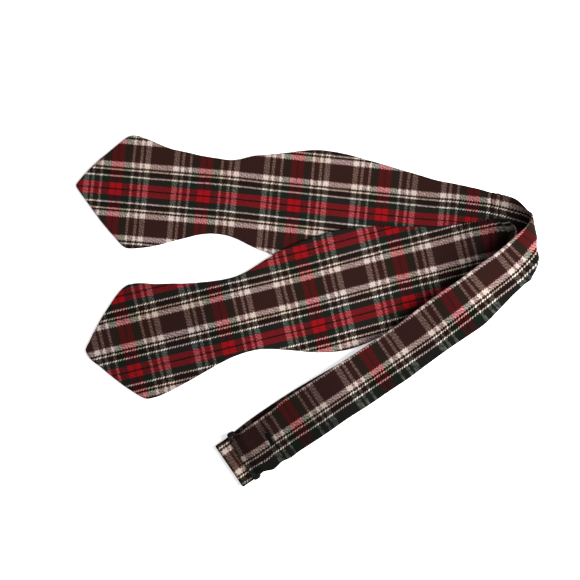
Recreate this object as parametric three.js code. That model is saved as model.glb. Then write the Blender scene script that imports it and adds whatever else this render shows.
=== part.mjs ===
// Self-tie bow tie with pointed ends, folded in half at its adjuster ring.
// Frame: millimetres, +Z up, the tie lies on z = 0. +X runs from the blades'
// points to the turn, +Y from the neckbands to the blades.
// Half A is the half that lies lowest, half B lies on it and can be drawn
// through the ring.
import * as THREE from "three";

// ---- driving dimensions, mm ----
const CLOTH = 0.42;            // one shell panel of cotton twill, pressed
const CORE = 0.32;             // interlining
const LAYER_GAP = 0.12;        // air between shell and interlining
const STRAP = 2 * CLOTH + 2 * LAYER_GAP + CORE;   // 1.40 sewn strap or blade
const STACK_GAP = 0.15;        // air between one strap and the next
const CORE_INSET = 0.055;      // share of the neckband's width that its interlining stops short
const DRAPE_MARGIN = 3.0;      // blade B stays up this far beyond blade A's edge
const DRAPE_RUN = 22.0;        // then comes down to the table over this run
const FOLD_MID = [-43.68, -87.08];   // middle of the fold in half B's strap
const TAIL_ANGLE = 34.3;       // degrees, direction of half B's end strap
const TAIL_HALF = 12.6;        // half width where it passes the ring
const FOLD_HALF = 13.9;        // half width at the fold
const TAIL_LEN = 38.0;         // from the fold to the strap's finished end
const TAIL_Z = 3.3;            // middle height of the end strap
const RING_MID = [-35.3, -80.8];
const RING_ANGLE = 31.5;
const RING_W = 29.6, RING_DEPTH = 4.0, RING_BAR = 0.9, RING_SIDE = 1.6;
const RING_Z0 = 1.55, RING_Z1 = 5.62;
const WRAP_R = 0.32;           // middle-surface radius of A's end round the top bar
const WRAP_Z = 5.17;           // middle height of the ring's top bar
const FOLDBACK = 22.0;         // length of A's folded-back end past the ring
const TACK = [7.7, 1.7, 0.55]; // bar tack: length, width, height
const TACK_AT = 17.2;          // bar tack's distance from the ring

// ---- edge lines of the two halves: U is the +Y edge, L the -Y edge ----
const A_TIP = [[-129.08,73.36],[-129.08,67.48]];
const A_UP = [[-98.0,98.56],[-93.52,97.89],[-84.56,94.36],[-75.6,90.72],[-66.64,88.76],[-57.68,86.8],[-48.72,85.34],[-42.0,84.56],[-36.4,85.23],[-29.68,86.91],[-21.84,87.58],[-12.88,88.37],[-3.92,89.6],[5.04,90.16],[14.0,89.38],[22.96,87.58],[36.4,84.0],[52.08,79.35],[66.08,75.15],[73.36,73.08],[87.36,70.39],[96.88,68.15],[103.04,66.3]];
const A_LO = [[-101.36,35.0],[-95.76,34.94],[-86.8,36.12],[-76.72,38.53],[-67.76,40.88],[-59.92,42.62],[-52.08,43.18],[-44.24,42.0],[-37.52,39.48],[-29.68,35.56],[-20.72,31.92],[-10.64,28.56],[-1.68,26.32],[7.28,24.92],[16.24,24.53],[25.2,24.86],[37.52,26.04],[52.08,28.56],[65.52,31.58],[73.36,33.49],[85.68,36.4],[94.64,38.3],[100.8,39.31]];
const B_TIP = [[-123.48,-18.2],[-122.64,-26.04]];
const B_UP = [[-100.24,14.78],[-93.52,15.68],[-84.56,15.12],[-75.6,15.46],[-66.64,15.57],[-57.68,16.24],[-48.72,17.36],[-42.0,18.7],[-35.28,21.39],[-28.56,25.42],[-21.84,29.68],[-14.0,33.99],[-6.16,37.63],[1.68,40.77],[9.52,43.34],[17.36,45.47],[25.2,46.59],[36.96,47.15],[48.72,47.26],[59.36,47.04],[71.12,47.38],[83.44,48.16],[93.52,49.95],[100.24,51.3]];
const B_LO = [[-89.04,-49.5],[-83.44,-47.94],[-75.6,-44.46],[-66.64,-39.54],[-57.68,-34.5],[-48.72,-29.34],[-39.76,-25.2],[-31.92,-22.62],[-25.2,-21.5],[-17.36,-21.39],[-9.52,-21.95],[-0.56,-22.85],[8.4,-23.3],[17.36,-22.74],[26.32,-20.72],[34.16,-17.7],[42.0,-13.89],[50.96,-8.62],[59.92,-2.91],[68.88,2.8],[78.96,9.07],[89.04,15.23],[98.0,20.38],[104.72,23.74]];
const a_up = [[103.38,66.19,0.7],[108.08,65.3,0.75],[112.56,64.4,1.1],[116.76,62.72,2.2],[119.84,60.14,4],[122.08,57.57,6],[123.37,55.16,8],[123.31,52.64,9.9],[122.42,50.06,11.4],[120.68,47.49,12.4],[116.48,42.56,13.0],[111.83,37.91,12.9],[103.88,31.36,12.1],[96.21,26.15,11.6],[86.24,18.48,10.5],[73.53,9.74,8.9],[62.16,1.4,7.5],[51.07,-7.17,6.6],[39.48,-15.12,6.2],[27.89,-22.9,6.2],[16.13,-30.63,5.8],[4.37,-38.3,5.4],[-7.34,-45.92,5.3],[-19.04,-53.48,5.47],[-26.32,-58.24,5.47],[-31.92,-62.27,5.47],[-39.37,-68.32,5.49]];
const a_lo = [[101.14,39.31,0.7],[108.08,38.64,0.75],[114.8,37.52,1.0],[120.4,36.12,2.2],[124.88,34.72,4],[127.68,33.04,6],[129.02,30.52,8],[128.97,27.16,9.9],[127.79,23.24,11.4],[125.44,19.32,12.4],[121.52,15.12,13.0],[115.08,9.07,12.9],[108.25,1.96,12.0],[99.12,-7.28,10.9],[90.16,-13.61,9.9],[80.08,-20.44,8.5],[67.76,-29.4,6.7],[57.12,-37.41,5.2],[45.64,-45.08,4.2],[34.16,-52.92,3.8],[22.4,-60.42,3.7],[10.92,-68.49,4.1],[-1.68,-76.72,5.05],[-10.64,-82.6,5.42],[-17.92,-87.25,5.47],[-21.56,-88.82,5.47],[-25.9,-90.33,5.49]];
const b_up = [[100.58,51.3,2.25],[104.72,51.97,2.3],[109.2,51.63,2.7],[112.56,50.4,3.7],[114.97,48.44,5.0],[116.2,46.2,6.4],[116.37,43.68,7.7],[115.47,41.1,8.8],[113.68,38.47,9.5],[109.76,34.44,9.8],[104.72,30.24,9.3],[96.88,24.36,8.2],[87.36,17.36,6.9],[75.04,8.85,5.4],[63.84,0.56,4.6],[52.36,-8.12,4.4],[40.6,-15.96,4.2],[28.56,-23.52,3.9],[16.52,-30.24,3.3],[3.92,-37.52,2.3],[-8.4,-44.91,1.3],[-20.72,-52.92,0.8],[-29.12,-58.69,0.7],[-36.96,-64.51,0.7],[-44.91,-71.06,0.7],[-49.9,-74.48,0.7]];
const b_lo = [[105.06,23.86,2.25],[109.76,25.03,2.4],[114.24,25.2,3.0],[117.77,24.19,4.3],[120.06,22.4,5.8],[120.85,19.88,7.2],[120.01,17.08,8.5],[117.32,13.72,9.4],[112.56,8.4,9.8],[106.4,2.24,9.1],[98.0,-5.32,7.6],[89.04,-12.32,6.0],[78.96,-19.32,4.2],[66.64,-28.28,2.5],[56.0,-36.12,1.5],[44.52,-43.79,0.9],[33.04,-51.52,0.7],[21.28,-59.14,0.7],[9.52,-67.2,0.7],[-2.8,-75.32,0.7],[-14.0,-82.49,0.7],[-21.84,-88.03,0.7],[-29.23,-94.02,0.7],[-34.22,-97.44,0.7]];

// ---- curve helpers ----
function along(points) {
  const s = [0];
  for (let i = 1; i < points.length; i++) {
    let d = 0;
    for (let k = 0; k < points[i].length; k++) d += (points[i][k] - points[i - 1][k]) ** 2;
    s.push(s[i - 1] + Math.sqrt(d));
  }
  return s;
}
// Smooth curve through the points, read at a share f of its length.
function reader(points) {
  const s = along(points), n = points.length, total = s[n - 1];
  const slope = points.map((p, i) => {
    const a = Math.max(0, i - 1), b = Math.min(n - 1, i + 1);
    return p.map((_, k) => (points[b][k] - points[a][k]) / (s[b] - s[a]));
  });
  return (f) => {
    const x = Math.min(Math.max(f, 0), 1) * total;
    let i = 0;
    while (i < n - 2 && s[i + 1] < x) i++;
    const h = s[i + 1] - s[i], t = (x - s[i]) / h, t2 = t * t, t3 = t2 * t;
    return points[i].map((_, k) =>
      (2 * t3 - 3 * t2 + 1) * points[i][k] + (t3 - 2 * t2 + t) * h * slope[i][k] +
      (-2 * t3 + 3 * t2) * points[i + 1][k] + (t3 - t2) * h * slope[i + 1][k]);
  };
}
const dir = (deg) => [Math.cos(deg * Math.PI / 180), Math.sin(deg * Math.PI / 180)];

// Distance from a point to a closed outline, positive outside.
function outside(x, y, poly) {
  let best = Infinity, inside = false;
  for (let i = 0, j = poly.length - 1; i < poly.length; j = i++) {
    const [ax, ay] = poly[j], [bx, by] = poly[i];
    const dx = bx - ax, dy = by - ay;
    let t = ((x - ax) * dx + (y - ay) * dy) / (dx * dx + dy * dy);
    t = Math.min(1, Math.max(0, t));
    best = Math.min(best, Math.hypot(x - ax - t * dx, y - ay - t * dy));
    if ((ay > y) !== (by > y) && x < ax + (y - ay) / dy * dx) inside = !inside;
  }
  return inside ? -best : best;
}
const A_OUTLINE = [...A_TIP, ...A_LO, ...[...A_UP].reverse()];
function liftOverA(x, y) {
  const d = outside(x, y, A_OUTLINE);
  const t = Math.min(1, Math.max(0, (d - DRAPE_MARGIN) / DRAPE_RUN));
  return (STRAP + STACK_GAP) * (1 - t * t * (3 - 2 * t));
}

// ---- middle surfaces: rows of [lower-edge point, upper-edge point] ----
function bladeRows(tip, up, lo, count, tipCount, lift) {
  const ru = reader(up), rl = reader(lo), rows = [];
  for (let i = 0; i < tipCount; i++) {
    const f = i / tipCount;
    rows.push([
      [tip[1][0] + (lo[0][0] - tip[1][0]) * f, tip[1][1] + (lo[0][1] - tip[1][1]) * f, STRAP / 2],
      [tip[0][0] + (up[0][0] - tip[0][0]) * f, tip[0][1] + (up[0][1] - tip[0][1]) * f, STRAP / 2]]);
  }
  for (let i = 0; i <= count; i++) {
    rows.push([[...rl(i / count), STRAP / 2], [...ru(i / count), STRAP / 2]]);
  }
  return { rows, lift };
}
function bandRows(up, lo, marks) {
  const ru = reader(up), rl = reader(lo);
  return marks.map((f) => [rl(f), ru(f)]);
}
function profileRow(mid, deg, a, z, half) {
  const [c, s] = dir(deg);
  const x = mid[0] + c * a, y = mid[1] + s * a;
  return [[x + s * half, y - c * half, z], [x - s * half, y + c * half, z]];
}

// Grid of points over the rows, with t = 0 on the lower edge.
function grid(surface, nt) {
  const rows = surface.rows, lift = surface.lift;
  return rows.map(([l, u]) => {
    const line = [];
    for (let j = 0; j <= nt; j++) {
      const t = j / nt;
      const p = new THREE.Vector3(l[0] + (u[0] - l[0]) * t, l[1] + (u[1] - l[1]) * t, l[2] + (u[2] - l[2]) * t);
      if (lift) p.z += lift(p.x, p.y);
      line.push(p);
    }
    return line;
  });
}
function normals(g) {
  const n = g.length, m = g[0].length;
  return g.map((line, i) => line.map((_, j) => {
    const du = g[Math.min(n - 1, i + 1)][j].clone().sub(g[Math.max(0, i - 1)][j]);
    const dt = g[i][Math.min(m - 1, j + 1)].clone().sub(g[i][Math.max(0, j - 1)]);
    return du.cross(dt).normalize();
  }));
}
// One sheet between two offsets of the middle surface, as a closed slab.
function slab(g, nrm, low, high, i0, i1, inset, skip = 0) {
  const nu = i1 - i0, nt = g[0].length - 1 - 2 * skip;
  const geo = new THREE.BoxGeometry(1, 1, 1, nt, 1, nu);
  const pos = geo.attributes.position, v = new THREE.Vector3();
  for (let k = 0; k < pos.count; k++) {
    v.fromBufferAttribute(pos, k);
    const i = i0 + Math.round((v.z + 0.5) * nu);
    const off = v.y < 0 ? low : high;
    const tt = Math.min(1 - inset, Math.max(inset, v.x + 0.5)) * nt;
    const j0 = Math.min(nt - 1, Math.floor(tt + 1e-9)), f = tt - j0, j = j0 + skip;
    const p = g[i][j].clone().lerp(g[i][j + 1], f);
    const q = nrm[i][j].clone().lerp(nrm[i][j + 1], f).normalize();
    p.addScaledVector(q, off);
    pos.setXYZ(k, p.x, p.y, p.z);
  }
  geo.computeVertexNormals();
  return geo;
}

// ---- materials ----
const twill = new THREE.MeshStandardMaterial({ color: 0x4a2224, roughness: 0.88, metalness: 0.0 });
const twillBack = new THREE.MeshStandardMaterial({ color: 0x43201f, roughness: 0.9, metalness: 0.0 });
const canvas = new THREE.MeshStandardMaterial({ color: 0xd8d2c4, roughness: 0.95, metalness: 0.0 });
const enamel = new THREE.MeshStandardMaterial({ color: 0x0c0c0e, roughness: 0.32, metalness: 0.6 });
const thread = new THREE.MeshStandardMaterial({ color: 0x120f10, roughness: 0.7, metalness: 0.0 });

const group = new THREE.Group();
function add(name, geometry, material) {
  const mesh = new THREE.Mesh(geometry, material);
  mesh.name = name;
  group.add(mesh);
  return mesh;
}
const H = STRAP / 2;
const SHELL = [H - CLOTH, H];
const PITH = [-CORE / 2, CORE / 2];
function layers(stem, surface, nt, last, skip) {
  const g = grid(surface, nt), nrm = normals(g), n = g.length - 1;
  const end = last ?? n;
  add(`${stem}_front_panel`, slab(g, nrm, SHELL[0], SHELL[1], 0, end, 0), twill);
  add(`${stem}_interlining`, slab(g, nrm, PITH[0], PITH[1], 1, end - 1, skip ? 0 : CORE_INSET, skip), canvas);
  add(`${stem}_back_panel`, slab(g, nrm, -SHELL[1], -SHELL[0], 0, n, 0), twillBack);
}

// ---- half A: blade on the table, band round the outer turn to the ring ----
layers("blade_a", bladeRows(A_TIP, A_UP, A_LO, 22, 4, null), 8, undefined, 1);

const aMarks = [];
for (let i = 0; i <= 22; i++) aMarks.push(i / 22 * 0.335);
for (let i = 1; i <= 26; i++) aMarks.push(0.335 + i / 26 * 0.665);
const aRows = bandRows(a_up, a_lo, aMarks);
const aEnd = aRows.length - 1;
const wrapMid = -RING_DEPTH / 2 + RING_BAR / 2;
aRows.push(profileRow(RING_MID, RING_ANGLE, 1.4, WRAP_Z + WRAP_R, 12.75));
for (let i = 0; i <= 6; i++) {
  const w = Math.PI * i / 6;
  aRows.push(profileRow(RING_MID, RING_ANGLE, wrapMid - WRAP_R * Math.sin(w), WRAP_Z + WRAP_R * Math.cos(w), 12.7));
}
for (const a of [1.5, 4, 8, 12, 17, FOLDBACK]) {
  aRows.push(profileRow(RING_MID, RING_ANGLE, a, WRAP_Z - WRAP_R, 12.7));
}
layers("band_a", { rows: aRows }, 4, aEnd);

// ---- half B: blade over blade A, band round the inner turn to its fold ----
layers("blade_b", bladeRows(B_TIP, B_UP, B_LO, 34, 5, liftOverA), 10, undefined, 1);

const bMarks = [];
for (let i = 0; i <= 18; i++) bMarks.push(i / 18 * 0.26);
for (let i = 1; i <= 30; i++) bMarks.push(0.26 + i / 30 * 0.74);
const bRows = bandRows(b_up, b_lo, bMarks);
const foldR = (TAIL_Z - H) / 2, foldAt = foldR + H;
for (let i = 1; i <= 8; i++) {
  const w = Math.PI * i / 8;
  bRows.push(profileRow(FOLD_MID, TAIL_ANGLE, foldAt - foldR * Math.sin(w), H + foldR - foldR * Math.cos(w), FOLD_HALF));
}
for (const a of [3.5, 5.5, 8.2, 10.5, 13, 17, 22, 28, 33, TAIL_LEN]) {
  const half = a >= 8 ? TAIL_HALF : TAIL_HALF + (FOLD_HALF - TAIL_HALF) * (8.2 - a) / (8.2 - foldAt);
  bRows.push(profileRow(FOLD_MID, TAIL_ANGLE, a, TAIL_Z, half));
}
layers("band_b", { rows: bRows }, 4);

// ---- adjuster ring ----
{
  const bevel = 0.25, w = RING_W / 2 - bevel, z0 = RING_Z0 + bevel, z1 = RING_Z1 - bevel, r = 1.3;
  const shape = new THREE.Shape();
  shape.moveTo(-w + r, z0);
  shape.lineTo(w - r, z0);
  shape.quadraticCurveTo(w, z0, w, z0 + r);
  shape.lineTo(w, z1 - r);
  shape.quadraticCurveTo(w, z1, w - r, z1);
  shape.lineTo(-w + r, z1);
  shape.quadraticCurveTo(-w, z1, -w, z1 - r);
  shape.lineTo(-w, z0 + r);
  shape.quadraticCurveTo(-w, z0, -w + r, z0);
  const hw = RING_W / 2 - RING_SIDE + bevel, h0 = RING_Z0 + RING_BAR - bevel, h1 = RING_Z1 - RING_BAR + bevel;
  const hole = new THREE.Path();
  hole.moveTo(-hw, h0);
  hole.lineTo(-hw, h1);
  hole.lineTo(hw, h1);
  hole.lineTo(hw, h0);
  hole.lineTo(-hw, h0);
  shape.holes.push(hole);
  const geo = new THREE.ExtrudeGeometry(shape, {
    depth: RING_DEPTH - 2 * bevel, bevelThickness: bevel, bevelSize: bevel, bevelSegments: 2, curveSegments: 5 });
  geo.translate(0, 0, -(RING_DEPTH - 2 * bevel) / 2);
  // local x across the strap, y up, z along the strap
  const [c, s] = dir(RING_ANGLE);
  const m = new THREE.Matrix4().makeBasis(
    new THREE.Vector3(s, -c, 0), new THREE.Vector3(0, 0, 1), new THREE.Vector3(-c, -s, 0));
  m.setPosition(RING_MID[0], RING_MID[1], 0);
  geo.applyMatrix4(m);
  add("adjuster_ring", geo, enamel);
}

// ---- bar tack across the middle of half A's end ----
{
  const [c, s] = dir(RING_ANGLE);
  const geo = new THREE.CapsuleGeometry(TACK[1] / 2, TACK[0] - TACK[1], 4, 10);
  geo.scale(1, 1, TACK[2] / TACK[1]);
  geo.rotateZ(RING_ANGLE * Math.PI / 180);
  geo.translate(RING_MID[0] + c * TACK_AT - s * 0.3, RING_MID[1] + s * TACK_AT + c * 0.3,
    WRAP_Z + WRAP_R + H + 0.06 + TACK[2] / 2);
  add("bar_tack", geo, thread);
}

// Origin under the middle of the bounding box.
const box = new THREE.Box3().setFromObject(group);
const shift = new THREE.Vector3(-(box.min.x + box.max.x) / 2, -(box.min.y + box.max.y) / 2, -box.min.z);
group.children.forEach((m) => m.geometry.translate(shift.x, shift.y, shift.z));

export default group;
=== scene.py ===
# Looks for the self-tie bow tie: pointed blades, doubled neckbands, adjuster ring.
# Lengths are millimetres until the meshes are made, and metres in Blender.
import math

import bpy
import numpy as np
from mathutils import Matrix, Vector


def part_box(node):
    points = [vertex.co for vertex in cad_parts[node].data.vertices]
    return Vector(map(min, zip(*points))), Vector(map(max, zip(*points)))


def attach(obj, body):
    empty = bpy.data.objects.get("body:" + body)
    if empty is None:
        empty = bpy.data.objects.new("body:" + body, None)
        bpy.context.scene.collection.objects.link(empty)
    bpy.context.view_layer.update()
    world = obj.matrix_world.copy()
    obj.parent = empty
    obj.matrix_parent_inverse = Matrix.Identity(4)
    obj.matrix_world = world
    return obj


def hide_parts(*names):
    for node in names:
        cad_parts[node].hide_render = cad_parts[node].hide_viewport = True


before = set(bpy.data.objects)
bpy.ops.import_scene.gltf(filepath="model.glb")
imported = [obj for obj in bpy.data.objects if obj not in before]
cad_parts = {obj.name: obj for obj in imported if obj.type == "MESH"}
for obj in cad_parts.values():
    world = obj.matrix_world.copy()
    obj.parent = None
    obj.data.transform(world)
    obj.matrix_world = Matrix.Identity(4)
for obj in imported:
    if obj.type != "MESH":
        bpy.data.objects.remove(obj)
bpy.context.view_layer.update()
MM = 0.001
PX = 0.56            # one unit of the stripe tables, in mm

# ---- the same driving dimensions and edge lines as the CAD source ----
CLOTH, CORE, LAYER_GAP = 0.42, 0.32, 0.12
STRAP = 2 * CLOTH + 2 * LAYER_GAP + CORE
H = STRAP / 2
STACK_GAP, DRAPE_MARGIN, DRAPE_RUN = 0.15, 3.0, 22.0
FOLD_MID, TAIL_ANGLE, TAIL_HALF, FOLD_HALF = (-43.68, -87.08), 34.3, 12.6, 13.9
TAIL_LEN, TAIL_Z = 38.0, 3.3
RING_MID, RING_ANGLE = (-35.3, -80.8), 31.5
RING_W, RING_DEPTH, RING_BAR, RING_SIDE, RING_Z0, RING_Z1 = 29.6, 4.0, 0.9, 1.6, 1.55, 5.62
WRAP_R, WRAP_Z, FOLDBACK = 0.32, 5.17, 22.0
TACK, TACK_AT = (7.7, 1.7, 0.55), 17.2
A_TIP = [[-129.08,73.36],[-129.08,67.48]]
A_UP = [[-98.0,98.56],[-93.52,97.89],[-84.56,94.36],[-75.6,90.72],[-66.64,88.76],[-57.68,86.8],[-48.72,85.34],[-42.0,84.56],[-36.4,85.23],[-29.68,86.91],[-21.84,87.58],[-12.88,88.37],[-3.92,89.6],[5.04,90.16],[14.0,89.38],[22.96,87.58],[36.4,84.0],[52.08,79.35],[66.08,75.15],[73.36,73.08],[87.36,70.39],[96.88,68.15],[103.04,66.3]]
A_LO = [[-101.36,35.0],[-95.76,34.94],[-86.8,36.12],[-76.72,38.53],[-67.76,40.88],[-59.92,42.62],[-52.08,43.18],[-44.24,42.0],[-37.52,39.48],[-29.68,35.56],[-20.72,31.92],[-10.64,28.56],[-1.68,26.32],[7.28,24.92],[16.24,24.53],[25.2,24.86],[37.52,26.04],[52.08,28.56],[65.52,31.58],[73.36,33.49],[85.68,36.4],[94.64,38.3],[100.8,39.31]]
B_TIP = [[-123.48,-18.2],[-122.64,-26.04]]
B_UP = [[-100.24,14.78],[-93.52,15.68],[-84.56,15.12],[-75.6,15.46],[-66.64,15.57],[-57.68,16.24],[-48.72,17.36],[-42.0,18.7],[-35.28,21.39],[-28.56,25.42],[-21.84,29.68],[-14.0,33.99],[-6.16,37.63],[1.68,40.77],[9.52,43.34],[17.36,45.47],[25.2,46.59],[36.96,47.15],[48.72,47.26],[59.36,47.04],[71.12,47.38],[83.44,48.16],[93.52,49.95],[100.24,51.3]]
B_LO = [[-89.04,-49.5],[-83.44,-47.94],[-75.6,-44.46],[-66.64,-39.54],[-57.68,-34.5],[-48.72,-29.34],[-39.76,-25.2],[-31.92,-22.62],[-25.2,-21.5],[-17.36,-21.39],[-9.52,-21.95],[-0.56,-22.85],[8.4,-23.3],[17.36,-22.74],[26.32,-20.72],[34.16,-17.7],[42.0,-13.89],[50.96,-8.62],[59.92,-2.91],[68.88,2.8],[78.96,9.07],[89.04,15.23],[98.0,20.38],[104.72,23.74]]
a_up = [[103.38,66.19,0.7],[108.08,65.3,0.75],[112.56,64.4,1.1],[116.76,62.72,2.2],[119.84,60.14,4],[122.08,57.57,6],[123.37,55.16,8],[123.31,52.64,9.9],[122.42,50.06,11.4],[120.68,47.49,12.4],[116.48,42.56,13.0],[111.83,37.91,12.9],[103.88,31.36,12.1],[96.21,26.15,11.6],[86.24,18.48,10.5],[73.53,9.74,8.9],[62.16,1.4,7.5],[51.07,-7.17,6.6],[39.48,-15.12,6.2],[27.89,-22.9,6.2],[16.13,-30.63,5.8],[4.37,-38.3,5.4],[-7.34,-45.92,5.3],[-19.04,-53.48,5.47],[-26.32,-58.24,5.47],[-31.92,-62.27,5.47],[-39.37,-68.32,5.49]]
a_lo = [[101.14,39.31,0.7],[108.08,38.64,0.75],[114.8,37.52,1.0],[120.4,36.12,2.2],[124.88,34.72,4],[127.68,33.04,6],[129.02,30.52,8],[128.97,27.16,9.9],[127.79,23.24,11.4],[125.44,19.32,12.4],[121.52,15.12,13.0],[115.08,9.07,12.9],[108.25,1.96,12.0],[99.12,-7.28,10.9],[90.16,-13.61,9.9],[80.08,-20.44,8.5],[67.76,-29.4,6.7],[57.12,-37.41,5.2],[45.64,-45.08,4.2],[34.16,-52.92,3.8],[22.4,-60.42,3.7],[10.92,-68.49,4.1],[-1.68,-76.72,5.05],[-10.64,-82.6,5.42],[-17.92,-87.25,5.47],[-21.56,-88.82,5.47],[-25.9,-90.33,5.49]]
b_up = [[100.58,51.3,2.25],[104.72,51.97,2.3],[109.2,51.63,2.7],[112.56,50.4,3.7],[114.97,48.44,5.0],[116.2,46.2,6.4],[116.37,43.68,7.7],[115.47,41.1,8.8],[113.68,38.47,9.5],[109.76,34.44,9.8],[104.72,30.24,9.3],[96.88,24.36,8.2],[87.36,17.36,6.9],[75.04,8.85,5.4],[63.84,0.56,4.6],[52.36,-8.12,4.4],[40.6,-15.96,4.2],[28.56,-23.52,3.9],[16.52,-30.24,3.3],[3.92,-37.52,2.3],[-8.4,-44.91,1.3],[-20.72,-52.92,0.8],[-29.12,-58.69,0.7],[-36.96,-64.51,0.7],[-44.91,-71.06,0.7],[-49.9,-74.48,0.7]]
b_lo = [[105.06,23.86,2.25],[109.76,25.03,2.4],[114.24,25.2,3.0],[117.77,24.19,4.3],[120.06,22.4,5.8],[120.85,19.88,7.2],[120.01,17.08,8.5],[117.32,13.72,9.4],[112.56,8.4,9.8],[106.4,2.24,9.1],[98.0,-5.32,7.6],[89.04,-12.32,6.0],[78.96,-19.32,4.2],[66.64,-28.28,2.5],[56.0,-36.12,1.5],[44.52,-43.79,0.9],[33.04,-51.52,0.7],[21.28,-59.14,0.7],[9.52,-67.2,0.7],[-2.8,-75.32,0.7],[-14.0,-82.49,0.7],[-21.84,-88.03,0.7],[-29.23,-94.02,0.7],[-34.22,-97.44,0.7]]

ring_lo, ring_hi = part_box("adjuster_ring")
SHIFT = np.array([(ring_lo.x + ring_hi.x) * 500 - RING_MID[0], (ring_lo.y + ring_hi.y) * 500 - RING_MID[1], 0.0])


# ---- curve helpers ----
def reader(points):
    p = np.array(points, float)
    s = np.concatenate([[0], np.cumsum(np.linalg.norm(np.diff(p, axis=0), axis=1))])
    n, total = len(p), s[-1]
    lo, hi = np.maximum(np.arange(n) - 1, 0), np.minimum(np.arange(n) + 1, n - 1)
    slope = (p[hi] - p[lo]) / (s[hi] - s[lo])[:, None]

    def read(f):
        x = np.clip(np.asarray(f, float), 0, 1) * total
        i = np.clip(np.searchsorted(s, x, side="left") - 1, 0, n - 2)
        h = s[i + 1] - s[i]
        t = ((x - s[i]) / h)[:, None]
        h = h[:, None]
        return ((2 * t**3 - 3 * t**2 + 1) * p[i] + (t**3 - 2 * t**2 + t) * h * slope[i]
                + (-2 * t**3 + 3 * t**2) * p[i + 1] + (t**3 - t**2) * h * slope[i + 1])
    return read


def smooth(x):
    x = np.clip(x, 0, 1)
    return x * x * (3 - 2 * x)


def to_line(x, y, line, closed=False):
    """Distance from points to a polyline."""
    q = np.array(line, float)
    if closed:
        q = np.vstack([q, q[:1]])
    best = np.full(np.shape(x), 1e9)
    for a, b in zip(q[:-1], q[1:]):
        d = b - a
        L = max(d @ d, 1e-12)
        t = np.clip(((x - a[0]) * d[0] + (y - a[1]) * d[1]) / L, 0, 1)
        best = np.minimum(best, np.hypot(x - a[0] - t * d[0], y - a[1] - t * d[1]))
    return best


def inside(x, y, poly):
    q = np.array(poly, float)
    r = np.zeros(np.shape(x), bool)
    for a, b in zip(np.roll(q, 1, axis=0), q):
        if a[1] == b[1]:
            continue
        r ^= ((a[1] > y) != (b[1] > y)) & (x < a[0] + (y - a[1]) / (b[1] - a[1]) * (b[0] - a[0]))
    return r


A_OUTLINE = A_TIP + A_LO + A_UP[::-1]


def lift_over_a(x, y):
    d = to_line(x, y, A_OUTLINE, True)
    d = np.where(inside(x, y, A_OUTLINE), -d, d)
    return (STRAP + STACK_GAP) * (1 - smooth((d - DRAPE_MARGIN) / DRAPE_RUN))


def wave(x, *terms):
    """A fixed sum of sines, from -1 to 1 or so: (wavelength, phase, weight)."""
    return sum(w * np.sin(2 * math.pi * x / l + p) for l, p, w in terms)


def settle(x, y):
    """How far everything at x, y stands above a dead flat lie. It hardly changes along the half that slides."""
    c, s = math.cos(math.radians(34.3)), math.sin(math.radians(34.3))
    u, v = x * c + y * s, -x * s + y * c
    a = 0.16 + 0.10 * wave(v, (61.0, 0.4, 0.6), (33.0, 2.1, 0.4)) + 0.05 * wave(u, (190.0, 1.0, 1.0))
    far = np.hypot(x - RING_MID[0], y - RING_MID[1])
    return a * smooth((far - 30) / 45)


def columns(width, m, edge=(0, .14, .36, .7, 1.15, 1.75)):
    e = np.array(edge)
    e = e * min(1.0, 0.30 * width / e[-1])
    mid = np.linspace(e[-1], width - e[-1], m - 2 * (len(e) - 1) + 1)
    return np.concatenate([e[:-1], mid, width - e[::-1][1:]]) / width


def grid_of(L, U, m):
    T = np.array([columns(max(np.linalg.norm(u - l), 1e-3), m) for l, u in zip(L, U)])
    return L[:, None] + (U - L)[:, None] * T[..., None], T


def normals_of(P):
    du = np.empty_like(P)
    du[1:-1], du[0], du[-1] = P[2:] - P[:-2], P[1] - P[0], P[-1] - P[-2]
    dt = np.empty_like(P)
    dt[:, 1:-1], dt[:, 0], dt[:, -1] = P[:, 2:] - P[:, :-2], P[:, 1] - P[:, 0], P[:, -1] - P[:, -2]
    n = np.cross(du, dt)
    return n / np.linalg.norm(n, axis=2, keepdims=True)


def round_corner(E, r):
    """Rounds a polyline's corners by averaging it over a window of arc length, which shrinks to nothing at its ends."""
    s = np.concatenate([[0], np.cumsum(np.linalg.norm(np.diff(E, axis=0), axis=1))])
    dense = np.linspace(0, s[-1], 6000)
    D = np.stack([np.interp(dense, s, E[:, k]) for k in range(2)], 1)
    step = dense[1]
    I = np.vstack([[0, 0], np.cumsum((D[1:] + D[:-1]) / 2 * step, axis=0)])
    w = np.minimum(r, np.minimum(s, s[-1] - s))
    a, b = s - w, s + w
    out = E.copy()
    ok = w > 0.02
    for k in range(2):
        out[ok, k] = (np.interp(b[ok], dense, I[:, k]) - np.interp(a[ok], dense, I[:, k])) / (2 * w[ok])
    return out


# ---- outlines of the blades ----
def px_path(points):
    return np.array([((x - 307) * PX, (311 - y) * PX) for x, y in points])


def spread(path, f):
    """Points at shares f of a polyline's length."""
    s = np.concatenate([[0], np.cumsum(np.linalg.norm(np.diff(path, axis=0), axis=1))])
    return np.stack([np.interp(np.asarray(f) * s[-1], s, path[:, k]) for k in range(2)], 1)


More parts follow.
